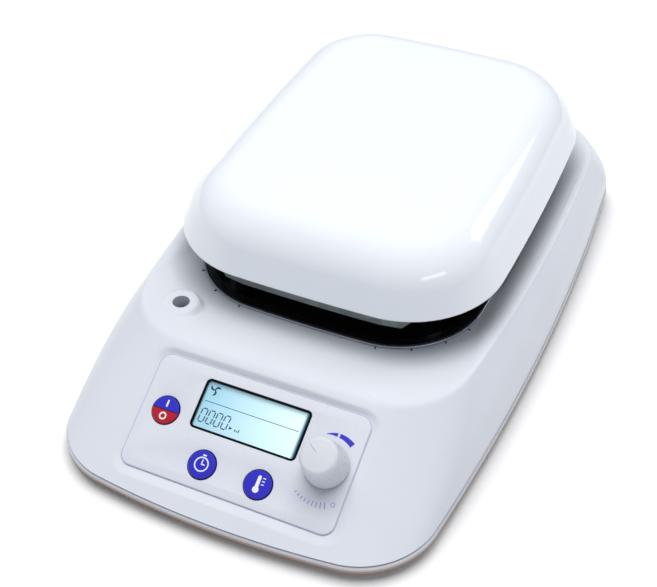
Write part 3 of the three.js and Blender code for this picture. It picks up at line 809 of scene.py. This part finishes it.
def housing_shell():
    shell = loft("housing_shell", outer_skin() + inner_skin(), housing_plastic, sleeve=True)

    def round_inlet(name, y0, y1):
        low = (inlet_low.x - 3 * MM, y0, inlet_low.z - 1.5 * MM)
        high = (inlet_high.x + 3 * MM, y1, inlet_high.z + 1.5 * MM)
        return block(name, low, high, housing_plastic, bevel=1.4 * MM)

    boolean(shell, round_inlet("inlet_pad", PAD_Y - 8.7 * MM, PAD_Y), "UNION")
    boolean(shell, round_inlet("inlet_pocket", PAD_Y, PAD_Y + 12 * MM))
    boolean(shell, shell_cutters())
    place(shell, "housing", "top_housing")
    outer, column_low = ROD_BOSS_R - 1 * MM, rod_low.z + 17 * MM
    column = [(ROD_HOLE_R, column_low), (ROD_HOLE_R, RIM_Z - 2 * MM), (outer, RIM_Z - 3 * MM),
              (outer, column_low), (ROD_HOLE_R, column_low)]
    place(lathe("rod_column", column, housing_plastic, ROD), "housing")


def base_tray():
    """Shallow tray with a rolled lower edge, ventilation slots and screw seats."""
    floor_z, floor_top, top = tray_low.z, tray_low.z + 2.2 * MM, tray_high.z
    edge = [(2.2, 0), (1.2, 0.12), (0.5, 0.5), (0.12, 1.1), (0, 1.8)]
    ledge = [(0.0, 1.1), (0.1, 0.55), (0.35, 0.2), (0.75, 0.04), (1.2, 0), (3.6, 0)]
    section = [(inset, floor_z + rise * MM) for inset, rise in edge]
    section += [(inset, top - drop * MM) for inset, drop in ledge]
    tray = loft("base_tray_shell", rings_around(TRAY, section + [(3.8, floor_top)]), tray_plastic)
    slots = []
    half_length, width, pitch = 28 * MM, 3.5 * MM, 9 * MM
    for i in range(7):
        y = 8 * MM + i * pitch
        low, high = (-half_length, y, floor_z - 2 * MM), (half_length, y + width, floor_top + 2 * MM)
        slots.append(block("slot", low, high, tray_plastic, bevel=1.2 * MM))
    for i in range(4):
        low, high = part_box(f"base_screw_{i + 1}")
        centre = middle(low, high)
        seat, head_r, shank_r = floor_z + 1.4 * MM, 4.2 * MM, 2 * MM
        profile = [(0, floor_z - MM), (head_r, floor_z - MM), (head_r, seat), (shank_r, seat),
                   (shank_r, floor_top + MM), (0, floor_top + MM)]
        slots.append(lathe("screw_seat", profile, tray_plastic, centre, 32))
    boolean(tray, joined("slots", slots))
    place(tray, "housing", "base_tray")


# ---- heat shield, trim and plate ----

def heat_shield():
    """Pressed pan: outside from the floor up, over the flange, and inside back down to the floor."""
    floor_z, floor_top = shield_low.z, shield_low.z + 1.2 * MM
    flange_under, flange_top = WELL_Z + 0.3 * MM, shield_high.z
    bends = [
        (floor_z, [(9.5, 0), (6.6, 0.5), (5.0, 2), (4.4, 4.5)]),
        (flange_under, [(4.4, 0), (0.75, 0), (0.6, 0.2)]),
        (flange_top, [(0.6, -0.35), (0.8, -0.05), (1.15, 0), (4.6, 0), (5.2, -0.15), (5.6, -0.7)]),
        (floor_top, [(5.7, 3.2), (6.2, 1.4), (7.6, 0.3), (10.5, 0)]),
    ]
    section = [(inset, level + rise * MM) for level, bend in bends for inset, rise in bend]
    pan = loft("heat_shield_pan", rings_around(WELL, section), enamel)
    shaft_hole = circle(9 * MM, (0, plate_y))
    boolean(pan, prism("shaft_hole", shaft_hole, floor_z - 2 * MM, floor_z + 4 * MM, enamel))
    place(pan, "black_enamel", "heat_shield")


def shield_trim():
    low, high = trim_low.z - 0.1 * MM, trim_high.z
    section = [(0.3, low), (-0.75, low), (-0.8, low + 0.1 * MM), (-0.62, high - 0.22 * MM),
               (-0.3, high - 0.05 * MM), (0.0, high), (0.3, high - 0.1 * MM)]
    trim = loft("shield_trim_ring", rings_around(WELL, section), trim_metal, sleeve=True, angle=60)
    place(trim, "trim_metal", "shield_trim")


def well_slot_shadows():
    """Small black marks at the well's edge, four round each front corner, painted shade for the slots there."""
    outline = bowed_outline(WELL, -1.5 * MM)
    parts = []
    count = len(outline)
    size = Vector((0.3, 0.65, 0.25)) * MM
    for share in (0.1, 0.35, 0.58, 0.8):
        index = FINE.end + int(FINE.corner * share)
        for i in (index, count - index):
            x, y = outline[i % count]
            nx, ny = outline[(i + 1) % count] - outline[(i - 1) % count]
            at = turned(x, y, WELL_Z + 0.25 * MM, math.degrees(math.atan2(ny, nx)))
            # Painted shade: black blocks where the shadow in the slots falls.
            parts.append(block("slot_shadow_mark", -size, size, black_plastic, bevel=0.15 * MM, matrix=at))
    place(joined("well_slot_shadow_marks", parts), "black_plastic")


def hotplate():
    """Pillow-shaped glazed plate: rolled lip, leaning wall and one long curve into the flat top."""
    bottom, height = plate_low.z, (plate_high.z - plate_low.z) / MM
    profile = [(18, 22.5), (12.5, 19), (7.9, 13), (2.7, 1.6), (2.3, 0.5), (1.8, 0.08), (1.2, 0.0),
               (0.65, 0.12), (0.28, 0.4), (0.1, 0.85), (0.17, 1.3)]
    shoulder, flat_edge = np.array([5.15, 13.0]), np.array([30.0, height])
    meeting = np.array([shoulder[0] * height / shoulder[1], height])
    for t in np.linspace(0.1, 1, 7):
        profile.append((0.05 + 5.1 * t, 1 + 12 * t))
    first, second = shoulder + (meeting - shoulder) * 0.6, flat_edge + (meeting - flat_edge) * 0.6
    for t in np.linspace(0, 1, 34)[1:]:
        u = 1 - t
        point = shoulder * u ** 3 + 3 * first * t * u ** 2 + 3 * second * t * t * u + flat_edge * t ** 3
        profile.append(tuple(point))
    section = [(inset, bottom + rise * MM) for inset, rise in profile]
    place(loft("hotplate_cover", rings_around(PLATE, section), glaze), "glaze", "hotplate")


# ---- control panel ----

def control_overlay():
    x0, x1, y0, y1 = OVERLAY_SIDES
    outlines = [rounded_rectangle(x0, x1, y0, y1, 6 * MM), bezel_outline(-0.15 * MM),
                circle(4.8 * MM, KNOB_AT), *button_holes()]
    sheet = cut_sheet("overlay_film", outlines, overlay_low.z, overlay_high.z, film, PANEL, bevel=0.08 * MM)
    place(sheet, "overlay_film", "control_overlay")
    line = [rounded_rectangle(x0 + d, x1 - d, y0 + d, y1 - d, 6 * MM - d) for d in (0.1 * MM, 0.45 * MM)]
    print_on_overlay("overlay_border", [line], border_ink)


def print_on_overlay(name, groups, paint):
    """Ink a few hundredths of a millimetre thick on the film. Each group is an outline and its holes."""
    top = overlay_high.z
    parts = [cut_sheet(name, outlines, top - 0.01 * MM, top + 0.03 * MM, paint, PANEL) for outlines in groups]
    place(joined(name, parts) if len(parts) > 1 else parts[0], "overlay_film")


def wedge(inner0, outer0, inner1, outer1, start, end, centre, steps=12):
    """Part of a ring whose width changes along it. Angles are in degrees."""
    angles = np.radians(np.linspace(start, end, steps + 1))
    t = np.linspace(0, 1, steps + 1)
    outer, inner = outer0 + (outer1 - outer0) * t, inner0 + (inner1 - inner0) * t
    direction = np.column_stack([np.cos(angles), np.sin(angles)])
    return np.concatenate([direction * outer[:, None], (direction * inner[:, None])[::-1]]) + centre


def knob_scale():
    """A speed ramp above the knob, and below it a row of growing ticks with a stop mark."""
    centre = np.array(KNOB_AT)
    ramp = [
        [wedge(14.7 * MM, 14.9 * MM, 13.9 * MM, 15.7 * MM, 112, 91, centre)],
        [wedge(13.8 * MM, 15.8 * MM, 13.2 * MM, 15.9 * MM, 87, 57, centre)],
    ]
    print_on_overlay("speed_ramp", ramp, blue_ink)
    marks = []
    scale_r = 18.2 * MM
    for i, angle in enumerate(np.linspace(-121, -72, 9)):
        tall = (0.5 + 0.14 * i) * MM
        inner, outer = scale_r - tall, scale_r + tall
        marks.append([wedge(inner, outer, inner, outer, angle - 0.9, angle + 0.9, centre, 2)])
    stop_angle = math.radians(-60)
    stop = centre + scale_r * np.array([math.cos(stop_angle), math.sin(stop_angle)])
    marks.append([circle(1.15 * MM, stop, 24), circle(0.75 * MM, stop, 24)])
    print_on_overlay("speed_marks", marks, violet_ink)


def bar(x0, y0, x1, y1, width):
    """A straight stroke with square ends."""
    a, b = np.array([x0, y0]) * MM, np.array([x1, y1]) * MM
    unit = (b - a) / np.linalg.norm(b - a)
    side = np.array([-unit[1], unit[0]]) * width * MM / 2
    return np.array([a - side, b - side, b + side, a + side])


def button_profile(radius, top):
    low, high = panel_box("timer_button")
    flange = (high.x - low.x) / 2
    return [(0, low.z), (flange - 0.2 * MM, low.z), (flange, low.z + 0.2 * MM), (flange, low.z + 0.8 * MM),
            (radius, low.z + 0.8 * MM), (radius, top - 0.75 * MM), (radius - 0.06 * MM, top - 0.5 * MM),
            (radius - 0.22 * MM, top - 0.25 * MM), (radius - 0.5 * MM, top - 0.1 * MM),
            (radius - 0.9 * MM, top - 0.05 * MM), (radius * 0.55, top - 0.01 * MM), (0, top)]


def button(name, paints, icon):
    """A round cap with its icon, split into halves by a second paint. Returns the outlines of a thin dark ring
    round the cap, painted shade for the gap.
    """
    node = f"{name}_button"
    centre = local_centre(node)
    top = panel_box(node)[1].z
    cap = lathe(f"{name}_cap", button_profile(BUTTON_R, top), paints, centre, 72, matrix=PANEL)
    if len(paints) > 1:
        inverse = PANEL.inverted()
        for face in cap.data.polygons:
            face.material_index = 0 if (inverse @ face.center).y > centre[1] else 1
    place(cap, "power_cap" if name == "power" else "blue_cap", node, body=node)
    shift = Matrix.Translation((centre[0], centre[1], 0))
    parts = [cut_sheet(f"{name}_icon", outlines, top - 0.03 * MM, top + 0.04 * MM, paint, PANEL @ shift)
             for paint, outlines in icon]
    place(joined(f"{name}_icon", parts), "overlay_film", body=node)
    # Painted shade: a thin black ring just outside the hole, for the shadow in the gap round the cap.
    return [circle(BUTTON_R + 0.6 * MM, centre, 72), circle(BUTTON_R + 0.3 * MM, centre, 72)]


def power_icon():
    """A stroke for on in the upper half and a ring for off in the lower half."""
    half = BUTTON_R / MM - 0.5
    return [
        (black_ink, [bar(-half, 0, half, 0, 0.44)]),
        (white_ink, [bar(0, 1.5, 0, 4.9, 0.9)]),
        (white_ink, [circle(1.9 * MM, (0, -3.1 * MM)), circle(1.15 * MM, (0, -3.1 * MM))]),
    ]


def clock_icon():
    return [
        (white_ink, [circle(3.6 * MM), circle(2.95 * MM)]),
        (white_ink, [bar(0, -0.3, 0, 2.3, 0.55)]),
        (white_ink, [bar(-0.2, 0, 1.7, 0, 0.55)]),
        (white_ink, [bar(-0.9, 4.4, 0.9, 4.4, 0.7)]),
    ]


def thermometer_icon():
    bulb = arc((0, -2.5 * MM), 1.55 * MM, math.radians(125), math.radians(415), 30, True)
    stem = arc((0, 3.4 * MM), 0.85 * MM, 0, math.pi, 12, True)
    marks = [(white_ink, [bar(1.7, y, 3.0, y, 0.5)]) for y in (0.4, 1.9, 3.4)]
    return [(white_ink, [np.concatenate([bulb, stem])])] + marks


def display():
    """Thin black frame, clear window and the backlit display with its segments."""
    top, window_z = bezel_high.z, overlay_high.z - 0.7 * MM
    rim = 0.95 * MM
    section = [(0.0, bezel_low.z), (0.0, top - 0.25 * MM), (0.1 * MM, top - 0.06 * MM), (0.25 * MM, top),
               (rim - 0.15 * MM, top), (rim, top - 0.15 * MM), (rim, bezel_low.z)]
    rings = [ring(bezel_outline(inset), z) for inset, z in section]
    place(loft("lcd_frame", rings, frame_black, sleeve=True, matrix=PANEL), "lcd_frame", "lcd_bezel")
    face = -3.2 * MM
    inner = bezel_outline(rim + 0.1 * MM)
    pane_z = window_z - 0.8 * MM
    pane = cut_sheet("lcd_window_pane", [inner], pane_z, window_z, window_clear, PANEL, 0.06 * MM)
    pane.visible_shadow = False
    place(pane, "lcd_glass", "lcd_window")
    module_low, _ = panel_box("lcd_module")
    low_x, high_x = bezel_low.x + rim, bezel_high.x - rim
    panel = prism("lcd_panel", inner, module_low.z, face, display_face(low_x, high_x), matrix=PANEL)
    place(panel, "lcd_display", "lcd_module")
    lcd_print(face, low_x, high_x)


def segment_digit(x, y, width, height, stroke):
    """A seven-segment zero, leaning slightly: six separate bars with pointed ends."""
    gap, half = stroke * 0.62, height / 2
    ends = [
        ((gap, 0), (width - gap, 0)), ((gap, height), (width - gap, height)),
        ((0, gap), (0, half - gap)), ((0, half + gap), (0, height - gap)),
        ((width, gap), (width, half - gap)), ((width, half + gap), (width, height - gap)),
    ]
    lean = 0.09
    bars = []
    for (ax, ay), (bx, by) in ends:
        a = (x + ax + ay * lean, y + ay)
        b = (x + bx + by * lean, y + by)
        bars.append([bar(*a, *b, stroke)])
    return bars


def rotor_icon(cx, cy, size):
    """Three curved blades round a hub."""
    groups = []
    for blade in range(3):
        turn = math.radians(120 * blade + 20)
        outer = arc((0.5, 0), 0.5, 0, math.pi, 12, True)
        inner = arc((0.5, -0.8), 0.943, math.radians(122), math.radians(58), 8, True)
        shape = np.concatenate([outer, inner])
        spin = np.array([[math.cos(turn), -math.sin(turn)], [math.sin(turn), math.cos(turn)]])
        groups.append([(shape @ spin.T) * size * MM + np.array([cx, cy]) * MM])
    groups.append([circle(0.17 * size * MM, (cx * MM, cy * MM), 16)])
    return groups


def lcd_print(face, low_x, high_x):
    groups = []
    for i in range(4):
        groups += segment_digit(-25.6 + i * 4.05, -9.0, 2.7, 6.6, 0.55)
    groups.append([np.array([(-9.3, -8.3), (-7.6, -7.5), (-9.3, -6.7)]) * MM])
    for i, tall in enumerate((1.2, 0.8, 1.6)):
        groups.append([bar(-6.2 + i * 1.0, -8.5, -6.2 + i * 1.0, -8.5 + tall, 0.5)])
    groups.append([bar(low_x / MM + 1.0, 1.25, high_x / MM - 2.6, 1.25, 0.3)])
    groups += rotor_icon(-23.0, 7.4, 2.9)
    parts = [cut_sheet("lcd_segments", g, face - 0.01 * MM, face + 0.03 * MM, lcd_ink, PANEL) for g in groups]
    place(joined("lcd_segments", parts), "lcd_display")


def control_knob():
    """Turned cap with a domed top, a ribbed skirt and a pointer groove."""
    low, high = panel_box("speed_knob")
    foot, top = low.z, high.z
    base_r = (high.x - low.x) / 2
    dome_drop = 3.9
    ribs, steps = 44, 44 * 8
    turn = circle(1, steps=steps)
    flute = (0.5 - 0.5 * np.cos(np.linspace(0, 2 * math.pi * ribs, steps + 1)[:-1])) * 0.28 * MM

    def level(radius, z):
        return ring(turn * np.broadcast_to(radius, steps)[:, None] + KNOB_AT, z)

    # Each row: share of the height, millimetres inside the base radius, share of the flutes' depth.
    rows = [(0.0, 0.3, 0), (0.015, 0, 0), (0.07, 0, 0), (0.09, 0.05, 0.6), (0.11, 0.1, 1)]
    for t in np.linspace(0.16, 0.72, 8):
        rows.append((t, 0.1 + 1.75 * ((t - 0.11) / 0.7) ** 1.2, 1))
    rows += [(0.77, 1.62, 0.7), (0.81, 1.72, 0.25), (0.84, 1.8, 0)]
    for angle in np.linspace(0.12, math.pi / 2, 12):
        rows.append((0.84 + 0.135 * math.sin(angle), dome_drop - 2.1 * math.cos(angle), 0))
    for t in (0.8, 0.6, 0.4, 0.2, 0.08):
        rows.append((1 - 0.025 * t * t, base_r / MM - (base_r / MM - dome_drop) * t, 0))
    outside = [level(base_r - drop * MM - flute * rib, foot + share * (top - foot))
               for share, drop, rib in rows]
    bore = [(3.3, 12.7), (3.3, 2.6), (7.4, 2.6), (7.4, foot / MM)]
    inside = [level(r * MM, z * MM) for r, z in bore]
    cap = loft("knob_cap", inside + outside, knob_plastic, matrix=PANEL, angle=40)
    pointer = PANEL @ turned(*KNOB_AT, 0, 145)
    groove = block("groove", (1.6 * MM, -0.36 * MM, top - 0.75 * MM), (8.3 * MM, 0.36 * MM, top + 2 * MM),
                   knob_plastic, bevel=0.12 * MM, matrix=pointer)
    boolean(cap, groove, angle=40)
    place(cap, "knob", "speed_knob", body="knob")


# ---- mains inlet, feet and screws ----

def mains_inlet():
    """Flanged inlet with its keyed cavity and the slot of the fuse drawer."""
    face, back = INLET_FACE_Y, inlet_low.y
    socket_x, half_x, half_z, depth = 42 * MM, 12.2 * MM, 8.2 * MM, 17 * MM
    z = (inlet_low.z + inlet_high.z) / 2
    margin = 2.4 * MM
    body = block("inlet_body", (inlet_low.x + margin, back, inlet_low.z + margin),
                 (inlet_high.x - margin, face - 1 * MM, inlet_high.z - margin), black_plastic, bevel=0.5 * MM)
    flange_low = (inlet_low.x, face - 2.5 * MM, inlet_low.z)
    boolean(body, block("inlet_flange", flange_low, inlet_high, black_plastic, bevel=0.9 * MM), "UNION")
    key = 4.5 * MM
    outline = np.array([(-half_x, -half_z), (half_x, -half_z), (half_x, half_z - key), (half_x - key, half_z),
                        (-half_x + key, half_z), (-half_x, half_z - key)])
    upright = Matrix.Translation((socket_x, 0, z)) @ Matrix.Rotation(math.radians(90), 4, "X")
    cavity = cut_sheet("cavity", [outline], -(face + 3 * MM), -(face - depth), black_plastic, upright)
    gap = 0.3 * MM
    slot = block("slot", (drawer_low.x - gap, drawer_low.y - gap, drawer_low.z - gap),
                 (drawer_high.x + gap, face + 3 * MM, drawer_high.z + gap), black_plastic, bevel=0)
    boolean(body, joined("inlet_cuts", [cavity, slot]))
    place(body, "black_plastic", "iec_inlet")
    drawer = block("fuse_drawer_front", drawer_low, drawer_high, black_plastic, bevel=0.4 * MM)
    notch_z = drawer_high.z - 3.2 * MM
    notch_low = (drawer_low.x + 1.6 * MM, face - 1.2 * MM, notch_z)
    notch_high = (drawer_high.x - 1.6 * MM, face + 3 * MM, notch_z + 1.6 * MM)
    boolean(drawer, block("notch", notch_low, notch_high, black_plastic, bevel=0.3 * MM))
    place(drawer, "black_plastic", "fuse_drawer", body="fuse_drawer")
    for i in range(3):
        low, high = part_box(f"inlet_pin_{i + 1}")
        blade = block(f"inlet_blade_{i + 1}", low, high, brass, bevel=0.5 * MM)
        place(blade, "brass", f"inlet_pin_{i + 1}")


def feet_and_screws():
    for i in range(4):
        low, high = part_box(f"foot_{i + 1}")
        centre = middle(low, high)
        r, h = (high.x - low.x) / 2, high.z - low.z
        profile = [(0, 0.6 * MM), (3 * MM, 0.6 * MM), (3.4 * MM, 0), (r - 1.6 * MM, 0),
                   (r - 0.8 * MM, 0.12 * MM), (r - 0.3 * MM, 0.5 * MM), (r - 0.55 * MM, h * 0.4),
                   (r - 0.1 * MM, h - 0.6 * MM), (r, h - 0.3 * MM), (r, h), (0, h)]
        foot = lathe(f"rubber_foot_{i + 1}", profile, foot_rubber, centre, 48)
        place(foot, "foot_rubber", f"foot_{i + 1}")
        low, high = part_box(f"base_screw_{i + 1}")
        centre = middle(low, high)
        head = low.z
        profile = [(0, head), (2.9 * MM, head + 0.05 * MM), (3.6 * MM, head + 0.3 * MM),
                   (3.8 * MM, head + 0.6 * MM), (3.8 * MM, head + MM), (1.7 * MM, head + MM),
                   (1.7 * MM, high.z - 2 * MM), (0, high.z)]
        screw = lathe(f"tray_screw_{i + 1}", profile, turned_steel, centre, 32)
        slot_end = Vector((2.1, 0.4, 0.75)) * MM
        slot_start = Vector((-slot_end.x, -slot_end.y, -MM))
        for angle in (20, 110):
            at = turned(*centre, head, angle)
            boolean(screw, block("slot", slot_start, slot_end, turned_steel, 0, at))
        place(screw, "socket_steel", f"base_screw_{i + 1}")


def finish_cad_nodes():
    """Every CAD node gets its slot's material; the plate tray, motor bracket, boards, transformer and relay also
    get a small rounding on their edges.
    """
    for part in frame["record"]["subparts"]:
        node = frame["nodes"][part["node"]]
        node.data.materials.clear()
        node.data.materials.append(SLOT_PAINTS[part["material_slot"]].material)
    for name in ("plate_tray", "motor_bracket", "power_board", "control_pcb", "transformer", "heater_relay"):
        bevel = frame["nodes"][name].modifiers.new("soft_edges", "BEVEL")
        bevel.width = 0.25 * MM
        bevel.segments = 2
        bevel.limit_method = "ANGLE"
    # Painted shade: the rod socket takes the dark steel that stands in for the shade in its hole.
    frame["nodes"]["rod_socket"].data.materials[0] = socket_steel.material


add_camera()
add_stage()
finish_cad_nodes()
housing_shell()
base_tray()
heat_shield()
shield_trim()
well_slot_shadows()
hotplate()
control_overlay()
knob_scale()
display()
# Painted shade: the rings returned by button() are printed black round each cap.
gap_shadow_rings = [
    button("power", [blue_cap, red_cap], power_icon()),
    button("timer", [blue_cap], clock_icon()),
    button("temp", [blue_cap], thermometer_icon()),
]
print_on_overlay("button_gap_shadows", gap_shadow_rings, black_ink)
control_knob()
mains_inlet()
feet_and_screws()
